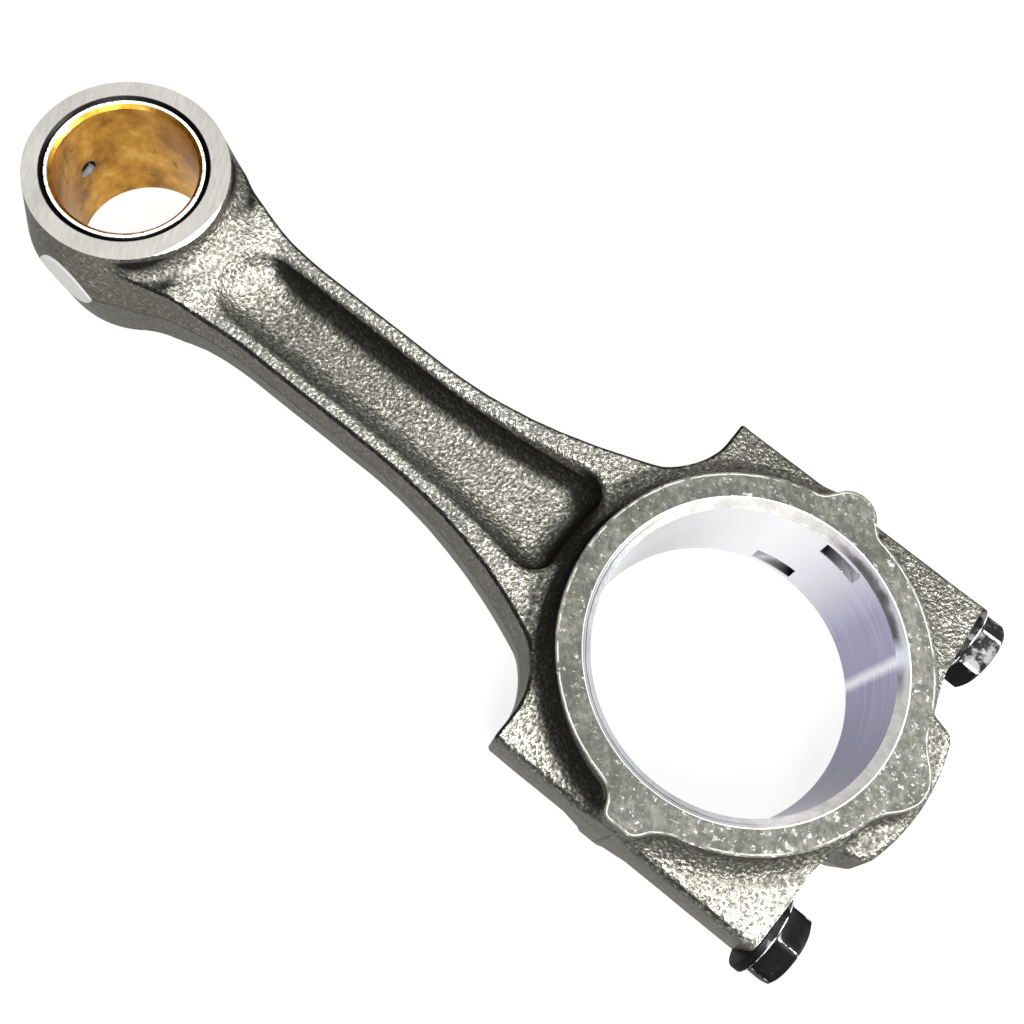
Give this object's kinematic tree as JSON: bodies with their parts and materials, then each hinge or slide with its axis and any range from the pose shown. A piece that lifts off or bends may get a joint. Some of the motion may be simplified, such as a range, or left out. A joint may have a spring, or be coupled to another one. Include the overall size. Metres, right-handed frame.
{
  "type": "connecting rod",
  "caption": "Forged I-beam connecting rod with a bolted big-end cap, bare shell bore with tang notches, and a bronze-bushed pin bore with an oil hole.",
  "frame": {"origin": "centre of the big-end bore, halfway through its width", "axes": "+X along the rod to the small end, +Z along both bores, +Y to the side with the locating flat on the small end"},
  "size_m": [0.1925, 0.0768, 0.027],
  "materials": {
    "forged_steel": "shot-blasted forging with machined faces and bores",
    "bush_bronze": "reamed bronze with brown patches",
    "black_oxide_steel": "black oxide, worn bright on the corners"
  },
  "bodies": {
    "rod": {"rod_forging": "forged_steel", "small_end_bush": "bush_bronze"},
    "cap": {"big_end_cap": "forged_steel"},
    "bolt_flat_side": {"cap_bolt_flat_side": "black_oxide_steel"},
    "bolt_tang_side": {"cap_bolt_tang_side": "black_oxide_steel"}
  },
  "joints": [
    {"name": "cap_lift_off", "type": "slide", "parent": "rod", "child": "cap", "axis": [-1, 0, 0], "range_m": [0, 0.04]},
    {"name": "bolt_undo_flat_side", "type": "slide", "parent": "cap", "child": "bolt_flat_side", "axis": [-1, 0, 0], "range_m": [0, 0.048]},
    {"name": "bolt_undo_tang_side", "type": "slide", "parent": "cap", "child": "bolt_tang_side", "axis": [-1, 0, 0], "range_m": [0, 0.048]}
  ]
}
